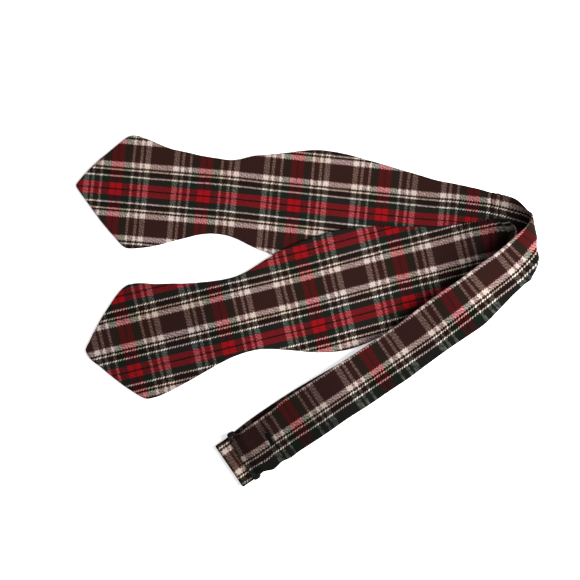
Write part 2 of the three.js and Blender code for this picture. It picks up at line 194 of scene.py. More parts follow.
# slightly bowed edges of the two points, from the nose to the side corners, in stripe units
A_NOSE_U = px_path([(76.2, 184.6), (76.9, 183.2), (78.4, 181.4), (80.2, 179.4), (83, 175.9), (92, 166.3), (100, 159), (108, 152.8), (116, 146), (124, 139.4), (128, 136.6)])
A_NOSE_L = px_path([(76.3, 186.6), (77.2, 188.4), (80, 192.3), (92, 209), (100, 220), (108, 230), (116, 239), (122, 245.6), (125, 247.6)])
B_NOSE_U = px_path([(85.7, 349.3), (86.3, 347.2), (88.6, 343), (92, 335.6), (100, 320.6), (108, 307.6), (116, 295.6), (121, 289.6), (126, 285.8)])
B_NOSE_L = px_path([(85.9, 351.2), (87.2, 354.4), (90, 358.6), (93.2, 361.6), (100, 366.4), (108, 373.2), (116, 379.8), (124, 385.8), (132, 391), (140, 396.2), (144, 398.4)])


def blade(nose, up, lo, band_u0, band_l0, lift, nv_tip, nv, m, seed):
    ru, rl = reader(up), reader(lo)
    start = np.array([0, .1, .25, .45, .7, 1.0, 1.4, 2.0]) / 34
    ft = np.concatenate([start, np.linspace(start[-1], 1, nv_tip)[1:-1]])
    f = np.linspace(0, 1, nv + 1)
    nu, nl = (np.vstack([p, [e[0]]]) for p, e in zip(nose, (up, lo)))
    L = np.vstack([spread(nl, ft), rl(f)])
    U = np.vstack([spread(nu, ft), ru(f)])
    L[-1] += (np.array(band_l0[:2]) - L[-1]) * 1.02
    U[-1] += (np.array(band_u0[:2]) - U[-1]) * 1.02
    L, U = round_corner(L, 1.3), round_corner(U, 1.3)
    # a turned and pressed seam is never dead straight
    mid = (L + U) / 2
    s = np.concatenate([[0], np.cumsum(np.linalg.norm(np.diff(mid, axis=0), axis=1))])
    out = (U - L) / np.linalg.norm(U - L, axis=1, keepdims=True)
    fade = smooth(s / 12) * smooth((s[-1] - s) / 10)
    U += out * (0.07 * fade * wave(s, (19, seed, .5), (7.3, seed * 2.3, .3), (47, seed * .7, .6)))[:, None]
    L -= out * (0.07 * fade * wave(s, (17, seed + 2, .5), (8.1, seed * 1.3, .3), (53, seed * 1.7, .6)))[:, None]
    z = np.zeros((len(L), 1))
    P, T = grid_of(np.hstack([L, z]), np.hstack([U, z]), m)
    x, y = P[..., 0], P[..., 1]
    P[..., 2] = H + (lift(x, y) if lift else 0)
    d = np.minimum(to_line(x, y, L), to_line(x, y, U))
    d = np.minimum(d, to_line(x, y, [L[0], U[0]]))
    d[0] = 0; d[:, 0] = 0; d[:, -1] = 0
    end = (s[-1] - s)[:, None] + 0 * x
    return {"P": P, "T": T, "d": d, "end0": None, "end1": end, "L": L, "U": U, "s": s}


def band(rows_l, rows_u, m, join):
    L, U = np.array(rows_l, float), np.array(rows_u, float)
    P, T = grid_of(L, U, m)
    w = np.linalg.norm(U - L, axis=1)
    d = np.minimum(T, 1 - T) * w[:, None]
    mid = (L + U) / 2
    s = np.concatenate([[0], np.cumsum(np.linalg.norm(np.diff(mid, axis=0), axis=1))])
    return {"P": P, "T": T, "d": d, "s": s, "mid": mid, "w": w, "end0": s[:, None] + 0 * d if join else None, "end1": None}


def profile_row(mid, deg, a, z, half):
    c, s = math.cos(math.radians(deg)), math.sin(math.radians(deg))
    x, y = mid[0] + c * a, mid[1] + s * a
    return [x + s * half, y - c * half, z], [x - s * half, y + c * half, z]


def outer_offset(g, full=H, edge=0.30, roll=1.15):
    d = np.clip(g["d"] / roll, 0, 1)
    o = edge + (full - edge) * np.sqrt(np.maximum(1 - (1 - d) ** 2, 0))
    for k in ("end0", "end1"):
        if g[k] is not None:
            o = o - 0.26 * np.exp(-(g[k] / 0.55) ** 2) * (g["d"] > 0.01)
    return o


def inner_offset(g, full=H - CLOTH):
    return 0.05 + (full - 0.05) * smooth(g["d"] / 1.5)


def make_mesh(name, T3, B3, UV, tone=None):
    """Closed slab between two point grids (metres), with a cloth UV map."""
    n, m = T3.shape[:2]
    V = np.vstack([T3.reshape(-1, 3), B3.reshape(-1, 3)])
    i, j = np.meshgrid(np.arange(n - 1), np.arange(m - 1), indexing="ij")
    a = (i * m + j).ravel(); b = ((i + 1) * m + j).ravel(); c = b + 1; e = a + 1
    top = np.stack([a, b, c, e], 1)
    k = n * m
    bot = np.stack([a, e, c, b], 1) + k
    ii, jj = np.arange(n - 1), np.arange(m - 1)
    p, q = ii * m, (ii + 1) * m
    s0 = np.stack([p, p + k, q + k, q], 1)
    p, q = ii * m + m - 1, (ii + 1) * m + m - 1
    s1 = np.stack([q, q + k, p + k, p], 1)
    s2 = np.stack([jj + 1, jj + 1 + k, jj + k, jj], 1)
    o = (n - 1) * m
    s3 = np.stack([o + jj, o + jj + k, o + jj + 1 + k, o + jj + 1], 1)
    F = np.vstack([top, bot, s0, s1, s2, s3]).astype(np.int32)
    me = bpy.data.meshes.new(name)
    me.vertices.add(len(V)); me.vertices.foreach_set("co", V.astype(np.float32).ravel())
    me.loops.add(F.size); me.loops.foreach_set("vertex_index", F.ravel())
    me.polygons.add(len(F))
    me.polygons.foreach_set("loop_start", np.arange(0, F.size, 4, dtype=np.int32))
    me.polygons.foreach_set("loop_total", np.full(len(F), 4, np.int32))
    me.update(calc_edges=True)
    me.validate()
    me.polygons.foreach_set("use_smooth", np.ones(len(me.polygons), bool))
    if UV is not None:
        uv2 = np.vstack([UV.reshape(-1, 2)] * 2)
        lay = me.uv_layers.new(name="cloth")
        li = np.zeros(len(me.loops), np.int32)
        me.loops.foreach_get("vertex_index", li)
        lay.data.foreach_set("uv", uv2[li].astype(np.float32).ravel())
    if tone is not None:
        # per-point painted shade and painted light, multiplied into the cloth colour
        att = me.attributes.new("painted_shading", "FLOAT", "POINT")
        att.data.foreach_set("value", np.concatenate([tone.ravel()] * 2).astype(np.float32))
    ob = bpy.data.objects.new(name, me)
    bpy.context.scene.collection.objects.link(ob)
    return ob


def place(Q):
    """Settles the points and moves them from table coordinates to the row frame, in metres."""
    Q = Q.copy()
    Q[..., 2] += settle(Q[..., 0], Q[..., 1])
    return (Q + SHIFT) * MM


def panel(node, side, g, N, uv, material, body, rows=None, relief=None, tone=None):
    sl = slice(0, rows)
    P, N = g["P"][sl], N[sl]
    o, i = outer_offset(g)[sl][..., None], inner_offset(g)[sl][..., None]
    hi, lo = (P + N * o, P + N * i) if side > 0 else (P - N * i, P - N * o)
    if relief is not None:
        hi, lo = relief(hi), relief(lo)
    t = np.ones(P.shape[:2]) if tone is None else tone[sl]
    t = t * (1 - 0.05 * np.exp(-(g["d"][sl] / 0.5) ** 2))      # painted shade along the rolled seam edge
    ob = make_mesh(node + "_cloth", place(hi), place(lo), uv[sl], t)
    ob.data.materials.append(material)
    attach(ob, body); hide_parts(node)
    return ob


def core(node, g, N, uv, material, body, i0, i1, step=3, relief=None):
    """The interlining between the panels, stopping short of their edges."""
    m = g["P"].shape[1]
    cols = np.arange(6, m - 6, 2)
    rows = np.arange(i0, i1, step)
    P, Q = g["P"][np.ix_(rows, cols)], N[np.ix_(rows, cols)]
    off = np.minimum(CORE / 2, inner_offset(g)[np.ix_(rows, cols)][..., None] - 0.03)
    hi, lo = P + Q * off, P - Q * off
    if relief is not None:
        hi, lo = relief(hi), relief(lo)
    ob = make_mesh(node + "_canvas", place(hi), place(lo), uv[np.ix_(rows, cols)])
    ob.data.materials.append(material)
    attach(ob, body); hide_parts(node)
    return ob


# ---- stripe coordinates: U along the strap, V across it, in stripe units of 0.56 mm ----
def px(x, y):
    return x / PX + 307, 311 - y / PX


def turned(x, y, ox, oy, deg):
    """Along and across coordinates about an axis that rises deg to the right."""
    c, s = math.cos(math.radians(deg)), math.sin(math.radians(deg))
    return (x - ox) * c - (y - oy) * s, (x - ox) * s + (y - oy) * c


def lerp_ext(x, xs, ys):
    xs, ys = np.array(xs, float), np.array(ys, float)
    y = np.interp(x, xs, ys)
    a, b = (ys[1] - ys[0]) / (xs[1] - xs[0]), (ys[-1] - ys[-2]) / (xs[-1] - xs[-2])
    return np.where(x < xs[0], ys[0] + (x - xs[0]) * a, np.where(x > xs[-1], ys[-1] + (x - xs[-1]) * b, y))


def uv_blade_a(X, Y):
    s, w = turned(*px(X, Y), 76, 185, -4.8)
    U = lerp_ext(s + w / 60, [39.7, 127.8, 219, 306.7, 396.7], [0, 93.5, 187, 280.5, 374])
    V = w - np.interp(s, [60, 150, 205, 290, 350, 380, 409, 425, 438, 450], [.5, .5, 2, 3.75, 4.9, 4.7, 5.8, 7.2, 8.1, 8.6])
    return U, V


def uv_blade_b(X, Y):
    s, w = turned(*px(X, Y), 86, 348, 13.7)
    U = lerp_ext(s, [42.5, 139, 231.2, 325.2, 417], [0, 93.5, 187, 280.5, 374])
    V = (w - 33.5 - np.interp(s, [230, 317, 358, 400, 425, 435, 442], [0, -2, -2.1, -2.8, -1.8, 1.1, 5])) * 73 / 75.8
    return U, V


def ribbon(g):
    """Distance along and across the strap for each grid point, in mm, measured on the cloth itself."""
    P, mid, s = g["P"], g["mid"], g["s"]
    tan = np.gradient(mid, axis=0)
    k = np.ones(9) / 9
    pad = np.pad(tan, ((4, 4), (0, 0)), mode="edge")
    tan = np.stack([np.convolve(pad[:, c], k, mode="valid") for c in range(3)], 1)
    tan /= np.linalg.norm(tan, axis=1, keepdims=True)
    rul = P[:, -1] - P[:, 0]
    across = rul - (rul * tan).sum(1, keepdims=True) * tan
    across /= np.linalg.norm(across, axis=1, keepdims=True)
    rel = P - mid[:, None]
    return s[:, None] + (rel * tan[:, None]).sum(2), (rel * across[:, None]).sum(2)


def crossing(g, line, rows):
    """Across position, in mm from the strap's middle, where each of the rows passes a drawn line (stripe units); held beyond it."""
    lx, ly = np.array(line, float).T
    order = np.argsort(lx)
    lx, ly = lx[order], ly[order]
    p, q = ribbon(g)
    found_i, found_q = [], []
    for i in rows:
        x, y = px(g["P"][i, :, 0], g["P"][i, :, 1])
        f = y - np.interp(x, lx, ly)
        ok = (x >= lx[0] - 1) & (x <= lx[-1] + 1)
        hit = np.where((f[:-1] * f[1:] <= 0) & ok[:-1] & ok[1:])[0]
        if len(hit):
            j = hit[0]
            t = f[j] / (f[j] - f[j + 1]) if f[j] != f[j + 1] else 0
            found_i.append(i); found_q.append(q[i, j] + (q[i, j + 1] - q[i, j]) * t)
    qs = np.interp(np.arange(len(g["s"])), found_i, found_q)
    k = np.ones(13) / 13
    qs = np.convolve(np.pad(qs, 6, mode="edge"), k, mode="valid")
    return qs


# ---- geometry of the four straps ----
gA = blade((A_NOSE_U, A_NOSE_L), A_UP, A_LO, a_up[0], a_lo[0], None, 30, 190, 56, 1.3)
gB = blade((B_NOSE_U, B_NOSE_L), B_UP, B_LO, b_up[0], b_lo[0], lift_over_a, 30, 196, 56, 4.1)

fa = np.concatenate([np.linspace(0, .335, 130), np.linspace(.335, 1, 190)[1:]])
ru, rl = reader(a_up), reader(a_lo)
Lr, Ur = list(rl(fa)), list(ru(fa))
A_END = len(Lr)
wrap_mid = -RING_DEPTH / 2 + RING_BAR / 2
for a in (2.6, 2.2, 1.8, 1.4, 1.0, .4, -.3, -1.0):
    if a <= 1.9:
        l, u = profile_row(RING_MID, RING_ANGLE, a, WRAP_Z + WRAP_R, 12.75); Lr.append(l); Ur.append(u)
for k in range(15):
    w = math.pi * k / 14
    l, u = profile_row(RING_MID, RING_ANGLE, wrap_mid - WRAP_R * math.sin(w), WRAP_Z + WRAP_R * math.cos(w), 12.7)
    Lr.append(l); Ur.append(u)
for a in np.linspace(-.6, FOLDBACK, 26):
    l, u = profile_row(RING_MID, RING_ANGLE, a, WRAP_Z - WRAP_R, 12.7); Lr.append(l); Ur.append(u)
gbA = band(Lr, Ur, 36, True)

fb = np.concatenate([np.linspace(0, .26, 110), np.linspace(.26, 1, 190)[1:]])
ru, rl = reader(b_up), reader(b_lo)
Lr, Ur = list(rl(fb)), list(ru(fb))
fold_r = (TAIL_Z - H) / 2
fold_at = fold_r + H
B_TURN = len(Lr)
for k in range(1, 19):
    w = math.pi * k / 18
    l, u = profile_row(FOLD_MID, TAIL_ANGLE, fold_at - fold_r * math.sin(w), H + fold_r - fold_r * math.cos(w), FOLD_HALF)
    Lr.append(l); Ur.append(u)
for a in np.concatenate([np.linspace(2.6, 11, 16), np.linspace(12, TAIL_LEN, 22)]):
    half = TAIL_HALF + (FOLD_HALF - TAIL_HALF) * (1 - smooth((a - fold_at) / (8.2 - fold_at)))
    l, u = profile_row(FOLD_MID, TAIL_ANGLE, a, TAIL_Z, half); Lr.append(l); Ur.append(u)
gbB = band(Lr, Ur, 36, True)

# ---- stripe coordinates of each panel ----
def stack(U, V):
    return np.stack([U / 100, V / 100], -1)


uvA = uv_blade_a(gA["P"][..., 0], gA["P"][..., 1])
uvB = uv_blade_b(gB["P"][..., 0], gB["P"][..., 1])

def painted_shade_a(x):
    """Painted shade in the fold at the turn, half A."""
    return 1 - 0.05 * smooth((x - 385) / 45) - 0.03 * smooth((x - 440) / 40) - 0.12 * smooth((x - 486) / 36)


def painted_shade_b(x):
    """Painted shade in the fold at the turn, half B; a little darker towards blade B's tip too."""
    return 1 - 0.06 * (1 - smooth((x - 190) / 70)) - 0.05 * smooth((x - 375) / 45) - 0.085 * smooth((x - 430) / 45) - 0.11 * smooth((x - 486) / 18)


pA, qA = ribbon(gbA)
turnA = int(np.argmax(gbA["mid"][:, 0]))
k0 = uv_blade_a(gbA["mid"][0, 0], gbA["mid"][0, 1])
q_front = crossing(gbA, [(484, 200), (490, 200.8), (500, 203.5), (510, 205.8), (521, 209)], range(0, turnA))
U_fr = k0[0] + pA / PX * 0.985
V_fr = -24.8 - (qA - q_front[:, None]) / PX
pale = [(0, 6.3), (24, 6.1), (30, 5.2), (90, 4.8), (160, 4), (215, 3), (250, .8), (275, -1.5), (291, -2.8), (311, -4.6), (324, -5.6), (336, -8.3), (347, -11.5), (357, -16.9)]
c33, s33 = math.cos(math.radians(33)), math.sin(math.radians(33))
pale_xy = [(243 + s * c33 + w * s33, 452 - s * s33 + w * c33) for s, w in
           [(-8, 6.3)] + [(s, np.interp(s, *zip(*pale))) for s in np.linspace(0, 357, 80)]]
q_back = crossing(gbA, pale_xy, range(turnA, A_END))
sc, _ = turned(*px(gbA["mid"][:, 0], gbA["mid"][:, 1]), 243, 452, 33)
down = np.arange(turnA, A_END)
p_at = lambda s: float(np.interp(-s, -sc[down], gbA["s"][down]))
knots = sorted((p_at(s), u) for s, u in [(60.5, 187), (157, 93.5), (256.3, 0), (322.5, -62), (338.8, -77.2)])
U_bk = lerp_ext(pA, [k[0] for k in knots], [k[1] for k in knots])
V_bk = -24.8 - (qA - q_back[:, None]) / PX * 73 / 76.7
SC_AT, SC_BY = (0, 30, 100, 150, 250, 280, 300, 320, 340, 360, 375), (.79, .73, .77, .79, .79, .96, 1.04, 1.15, 1.38, 1.9, 2.1)
V_bk = np.where(V_bk < -36.5, -36.5 + (V_bk + 36.5) * np.interp(sc, SC_AT, SC_BY)[:, None], V_bk)
near = 1 - smooth((sc - 78) / 60)[:, None]
V_bk = np.where(V_bk > -10.5, -10.5 + 3.1 * np.tanh((V_bk + 10.5) / 4.6), V_bk)
px_a = px(gbA["P"][..., 0], gbA["P"][..., 1])[0]
# painted shading on band A: painted shade near the ring, painted light towards the turn, painted shade in the turn and
# past V -13.5
painted_shading_band_a = 1 - 0.095 * near - 0.026 + 0.075 * smooth((px_a - 415) / 70) - 0.030 * smooth((px_a - 506) / 18) - 0.035 * smooth((px_a - 521) / 10) - 0.04 * smooth((V_bk + 13.5) / 3)
# painted shade where the band wraps the ring's bar
painted_shading_band_a[A_END - 2:A_END + 22] *= 0.90
# painted shade towards the turn on band A's front panel
painted_shade_band_a_front = painted_shade_a(px_a)
ra, rl2 = gbA["P"][..., 0] - RING_MID[0], gbA["P"][..., 1] - RING_MID[1]
c_r, s_r = math.cos(math.radians(RING_ANGLE)), math.sin(math.radians(RING_ANGLE))
ra, rl2 = ra * c_r + rl2 * s_r, -ra * s_r + rl2 * c_r
# painted shade in the pucker round the bar tack
painted_shading_band_a -= 0.20 * np.exp(-((ra - TACK_AT) / 2.5) ** 2) * np.exp(-((rl2 - 1.2) / 7.6) ** 4)
# painted shade along both edges beside the ring
painted_shading_band_a = painted_shading_band_a * (1 - 0.16 * smooth((6 - ra) / 4) * smooth((-rl2 - 7.5) / 3.5) * (ra > -8) * (ra < 8) - 0.22 * smooth((7 - ra) / 5) * smooth((rl2 - 9.2) / 2.5) * (ra > -8) * (ra < 8))
px_b, py_b = px(gbB["P"][..., 0], gbB["P"][..., 1])
# painted shade on band B towards the turn and at the fold's end by the ring
painted_shading_band_b = painted_shade_b(px_b) - 0.02 * (1 - smooth((px_b - 232) / 18))
corner = (px_b - 215) * 0.555 + (py_b - 445.5) * 0.832          # along the fold's edge, from its upper corner
# painted shade at the fold's two corners beside the ring's ends
painted_shading_band_b = painted_shading_band_b * (1 - 0.20 * smooth((corner - 39.5) / 4) * (px_b < 262) - 0.14 * smooth((4.5 - corner) / 4) * (px_b < 250))
off_fold = (px_b - 215) * 0.832 - (py_b - 445.5) * 0.555        # across it, from the fold's edge
# painted light on the second pale square from the fold, against the real shade near the ring
painted_shading_band_b = painted_shading_band_b * (1 + 0.11 * np.exp(-((off_fold - 11) / 2.6) ** 2) * (px_b < 262) * (py_b > 430))

pB, qB = ribbon(gbB)
kb = uv_blade_b(gbB["mid"][0, 0], gbB["mid"][0, 1])
p_fold = gbB["s"][B_TURN + 8]
want = 374 + 93.5 * round((kb[0] + p_fold / PX * .955 - 374 + 36.8) / 93.5) - 36.8
U_bf = lerp_ext(pB, [0, p_fold, p_fold + 10], [kb[0], want, want + 10 / PX * .958])
v0 = float(kb[1])
v1 = v0 + ((-33.9 - v0 + 36.5) % 73 - 36.5)
v_mid = np.interp(gbB["s"], [0, p_fold], [v0, v1])
V_bf = v_mid[:, None] - qB / PX * np.interp(gbB["s"], [0, 60], [73 / 75.8, 73 / 76.7])[:, None]


# ---- materials ----
class Nodes:
    """Short forms for building a node tree."""

    def __init__(self, name):
        self.m = bpy.data.materials.new(name)
        self.m.use_nodes = True
        self.t = self.m.node_tree
        self.bsdf = self.t.nodes["Principled BSDF"]

    def new(self, kind, **props):
        n = self.t.nodes.new(kind)
        for k, v in props.items():
            setattr(n, k, v)
        return n

    def put(self, socket, value):
        if isinstance(value, bpy.types.NodeSocket):
            self.t.links.new(value, socket)
        else:
            socket.default_value = value

    def math(self, op, *args, clamp=False):
        n = self.new("ShaderNodeMath", operation=op, use_clamp=clamp)
        for s, a in zip(n.inputs, args):
            self.put(s, a)
        return n.outputs[0]

    def vmath(self, op, *args, scale=None):
        n = self.new("ShaderNodeVectorMath", operation=op)
        for s, a in zip(n.inputs, args):
            self.put(s, a)
        if scale is not None:
            self.put(n.inputs["Scale"], scale)
        return n.outputs[0]

    def pack(self, x, y, z):
        n = self.new("ShaderNodeCombineXYZ")
        for s, a in zip(n.inputs, (x, y, z)):
            self.put(s, a)
        return n.outputs[0]

    def noise(self, vector, scale, detail=2.0, rough=0.5):
        n = self.new("ShaderNodeTexNoise", noise_dimensions="3D")
        self.put(n.inputs["Vector"], vector)
        n.inputs["Scale"].default_value = scale
        n.inputs["Detail"].default_value = detail
        n.inputs["Roughness"].default_value = rough
        return n.outputs["Fac"]

    def ramp(self, fac, stops, interpolation="LINEAR"):
        n = self.new("ShaderNodeValToRGB")
        r = n.color_ramp
        r.interpolation = interpolation
        while len(r.elements) < len(stops):
            r.elements.new(0.5)
        for e, (pos, col) in zip(r.elements, stops):
            e.position = pos
            e.color = (*col, 1)
        self.put(n.inputs["Fac"], fac)
        return n.outputs["Color"]

    def mix(self, fac, a, b):
        n = self.new("ShaderNodeMix", data_type="RGBA", blend_type="MIX")
        self.put(n.inputs["Factor"], fac)
        self.put(n.inputs["A"], a)
        self.put(n.inputs["B"], b)
        return n.outputs["Result"]


# Yarn colours, in a tone scale where the colours of crossing yarns add up evenly.
BROWN, PALE, CREAM, WHITE = (.422, .325, .308), (.955, .915, .905), (1.07, 1.043, .998), (1.10, 1.085, 1.075)
DARK = (.240, .200, .185)
RED, RED_DEEP, GREEN, BLACK = (.735, .270, .330), (.250, .160, .150), (.285, .345, .320), (.275, .238, .220)
W_RED, W_RED_DEEP, W_GREEN, W_GREY, W_GAP = (.618, .230, .252), (.50, .200, .205), (.325, .332, .275), (.800, .768, .735), (.425, .320, .300)


def stops_of(bands, half, soft):
    """Ramp stops for bands [(end, colour), ...] of a half repeat, with soft edges."""
    out = [(0.0, bands[0][1])]
    for (end, col), (_, nxt) in zip(bands[:-1], bands[1:]):
        out += [((end - soft) / half, col), ((end + soft) / half, nxt)]
    return out


WARP = stops_of([(.62, RED_DEEP), (6.2, RED), (12.5, GREEN), (13.6, WHITE), (19.0, BLACK), (20.25, CREAM),
                 (22.4, DARK), (27.4, PALE), (36.5, BROWN)], 36.5, .16)
WEFT = stops_of([(.9, W_RED_DEEP), (6.6, W_RED), (15.0, W_GREEN), (17.6, W_GREY), (23.1, W_GAP), (26.1, W_GREY),
                 (28.7, W_GAP), (34.4, W_GREY), (46.75, BROWN)], 46.75, .22)
TWILL = 2.7          # one repeat of the twill along the strap


def tartan(name, shade=1.0, seed=0.0, dull=0.0):
    k = Nodes(name)
    uv = k.new("ShaderNodeUVMap", uv_map="cloth").outputs["UV"]
    sep = k.new("ShaderNodeSeparateXYZ")
    k.put(sep.inputs[0], uv)
    U = k.math("MULTIPLY", sep.outputs["X"], 100.0)
    V = k.math("MULTIPLY", sep.outputs["Y"], 100.0)
    at = k.vmath("ADD", uv, (seed, seed * .37, seed * .61))
    slow = k.noise(at, 9.0, 3)                       # uneven setting of the stripes
    yarn = k.noise(k.vmath("MULTIPLY", at, (14.0, 150.0, 1.0)), 1.0, 2)   # slubs that run along the strap
    fill = k.noise(k.vmath("MULTIPLY", at, (150.0, 14.0, 1.0)), 1.0, 2)
    # twill lines: a slanting wave whose crests are warp floats
    slant = k.math("DIVIDE", k.math("ADD", U, k.math("MULTIPLY", V, -0.45)), TWILL)
    slant = k.math("ADD", slant, k.math("MULTIPLY", k.math("SUBTRACT", k.noise(at, 22.0, 2), 0.5), 1.1))
    cross = k.math("DIVIDE", k.math("ADD", V, k.math("MULTIPLY", U, -0.40)), TWILL)
    cross = k.math("ADD", cross, k.math("MULTIPLY", k.math("SUBTRACT", k.noise(at, 17.0, 2), 0.5), 1.1))
    tri = k.math("MULTIPLY", k.math("PINGPONG", slant, 0.5), 2.0)
    tri2 = k.math("MULTIPLY", k.math("PINGPONG", cross, 0.5), 2.0)
    hatch = k.math("SUBTRACT", k.math("ADD", tri, tri2), 1.0)
    # the stripes' edges step with the twill, which gives thin lines their teeth
    tooth = k.math("SUBTRACT", k.math("FRACT", k.math("ADD", slant, 0.25)), 0.5)
    row = k.math("PINGPONG", V, 36.5)
    fine = k.math("MULTIPLY", k.math("GREATER_THAN", row, 10.6), k.math("LESS_THAN", row, 21.6))   # the rows of the thin lines
    edge = k.math("ADD", k.math("MULTIPLY", k.math("GREATER_THAN", row, 9.0), 0.82), 0.5)
    v = k.math("ADD", V, k.math("MULTIPLY", tooth, edge))
    v = k.math("ADD", v, k.math("MULTIPLY", k.math("SUBTRACT", slow, 0.5), 0.8))
    u = k.math("ADD", U, k.math("MULTIPLY", k.math("SUBTRACT", k.math("FRACT", cross), 0.5), 1.1))
    u = k.math("ADD", u, k.math("MULTIPLY", k.math("SUBTRACT", slow, 0.5), 0.9))
    warp = k.ramp(k.math("DIVIDE", k.math("PINGPONG", v, 36.5), 36.5), WARP)
    weft = k.ramp(k.math("DIVIDE", k.math("PINGPONG", u, 46.75), 46.75), WEFT)
    # single yarns, finer than the twill line
    end = k.math("PINGPONG", k.math("DIVIDE", V, 0.68), 0.5)
    pick = k.math("PINGPONG", k.math("DIVIDE", U, 0.68), 0.5)
    depth = k.math("ADD", k.math("MULTIPLY", k.noise(at, 13.0, 2), 0.26), 0.11)
    depth = k.math("MULTIPLY", depth, k.math("SUBTRACT", 1.0, k.math("MULTIPLY", fine, 0.32)))
    share = k.math("ADD", k.math("MULTIPLY", hatch, depth), 0.42)
    share = k.math("ADD", share, k.math("MULTIPLY", k.math("SUBTRACT", k.noise(at, 42.0, 1), 0.5), 0.34))
    share = k.math("ADD", share, k.math("MULTIPLY", k.math("SUBTRACT", yarn, 0.5), 0.14))
    share = k.math("ADD", share, k.math("MULTIPLY", k.math("SUBTRACT", fill, 0.5), 0.14), clamp=True)
    g = k.mix(share, warp, weft)
    # red over red is more than the mean of the two
    wa, we = k.new("ShaderNodeSeparateXYZ"), k.new("ShaderNodeSeparateXYZ")
    k.put(wa.inputs[0], warp); k.put(we.inputs[0], weft)
    both = k.math("MULTIPLY", k.math("SUBTRACT", wa.outputs["X"], wa.outputs["Y"]), k.math("SUBTRACT", we.outputs["X"], we.outputs["Y"]))
    lit = k.math("ADD", k.math("MULTIPLY", k.noise(at, 24.0, 3), 0.52), 0.02)
    g = k.vmath("ADD", g, k.pack(k.math("MULTIPLY", both, lit), 0.0, 0.0))
    tone = k.math("ADD", k.math("MULTIPLY", k.noise(at, 4.0, 2), 0.05), shade - 0.025)
    tone = k.math("ADD", tone, k.math("MULTIPLY", k.math("SUBTRACT", yarn, 0.5), 0.045))
    # painted shade and painted light from the mesh's per-point attribute
    painted_shading_fac = k.new("ShaderNodeAttribute", attribute_name="painted_shading").outputs["Fac"]
    g = k.vmath("SCALE", g, scale=k.math("MULTIPLY", tone, painted_shading_fac))
    # slow drift of the dye towards yellow
    drift = k.math("SUBTRACT", 1.05, k.math("MULTIPLY", k.noise(at, 2.6, 1), 0.11))
    g = k.vmath("MULTIPLY", g, k.pack(1.0, k.math("ADD", k.math("MULTIPLY", drift, 0.3), 0.7), drift))
    s3 = k.new("ShaderNodeSeparateXYZ"); k.put(s3.inputs[0], g)
    c3 = k.new("ShaderNodeCombineColor")
    for a, b in zip(s3.outputs, c3.inputs):
        k.put(b, k.math("POWER", a, 4.3))
    k.put(k.bsdf.inputs["Base Color"], c3.outputs[0])
    rough = k.math("ADD", k.math("MULTIPLY", fill, 0.12), 0.74)
    k.put(k.bsdf.inputs["Roughness"], rough)
    k.bsdf.inputs["Specular IOR Level"].default_value = 0.045
    k.bsdf.inputs["Sheen Weight"].default_value = 0.015
    k.bsdf.inputs["Sheen Roughness"].default_value = 0.45
    # relief: twill ridges, yarns and fuzz
    h = k.math("ADD", k.math("MULTIPLY", tri, 0.55), k.math("MULTIPLY", end, 0.35))
    h = k.math("ADD", h, k.math("MULTIPLY", pick, 0.30))
    h = k.math("ADD", h, k.math("MULTIPLY", k.noise(at, 60.0, 3, 0.6), 0.5))
    bump = k.new("ShaderNodeBump")
    bump.inputs["Strength"].default_value = 0.55
    bump.inputs["Distance"].default_value = 0.00016
    k.put(bump.inputs["Height"], h)
    k.put(k.bsdf.inputs["Normal"], bump.outputs[0])
    return k.m


def canvas():
    k = Nodes("interlining_canvas")
    uv = k.new("ShaderNodeUVMap", uv_map="cloth").outputs["UV"]
    w = k.new("ShaderNodeTexWave", wave_type="BANDS", bands_direction="X"); k.put(w.inputs["Vector"], uv); w.inputs["Scale"].default_value = 40; w.inputs["Distortion"].default_value = .6
    f = k.new("ShaderNodeTexWave", wave_type="BANDS", bands_direction="Y"); k.put(f.inputs["Vector"], uv); f.inputs["Scale"].default_value = 40; f.inputs["Distortion"].default_value = .6
    both = k.math("MULTIPLY", k.math("ADD", w.outputs["Fac"], f.outputs["Fac"]), 0.5)
    k.put(k.bsdf.inputs["Base Color"], k.mix(both, (.44, .40, .33, 1), (.66, .62, .54, 1)))
    k.put(k.bsdf.inputs["Roughness"], k.math("ADD", k.math("MULTIPLY", both, -0.1), 0.95))
    b = k.new("ShaderNodeBump"); b.inputs["Strength"].default_value = .5; b.inputs["Distance"].default_value = .0002
    k.put(b.inputs["Height"], both); k.put(k.bsdf.inputs["Normal"], b.outputs[0])
    return k.m


def enamel():
    k = Nodes("black_enamel")
    pos = k.new("ShaderNodeTexCoord").outputs["Object"]
    wear = k.noise(pos, 900.0, 4, 0.6)
    k.put(k.bsdf.inputs["Base Color"], k.mix(wear, (.0010, .0010, .0012, 1), (.0040, .0038, .0040, 1)))
    k.put(k.bsdf.inputs["Roughness"], k.math("ADD", k.math("MULTIPLY", wear, 0.2), 0.42))
    k.bsdf.inputs["Specular IOR Level"].default_value = 0.07
    k.bsdf.inputs["Coat Weight"].default_value = 0.03
    k.bsdf.inputs["Coat Roughness"].default_value = 0.25
    b = k.new("ShaderNodeBump"); b.inputs["Strength"].default_value = .15; b.inputs["Distance"].default_value = .00008
    k.put(b.inputs["Height"], k.noise(pos, 1600.0, 2)); k.put(k.bsdf.inputs["Normal"], b.outputs[0])
    return k.m


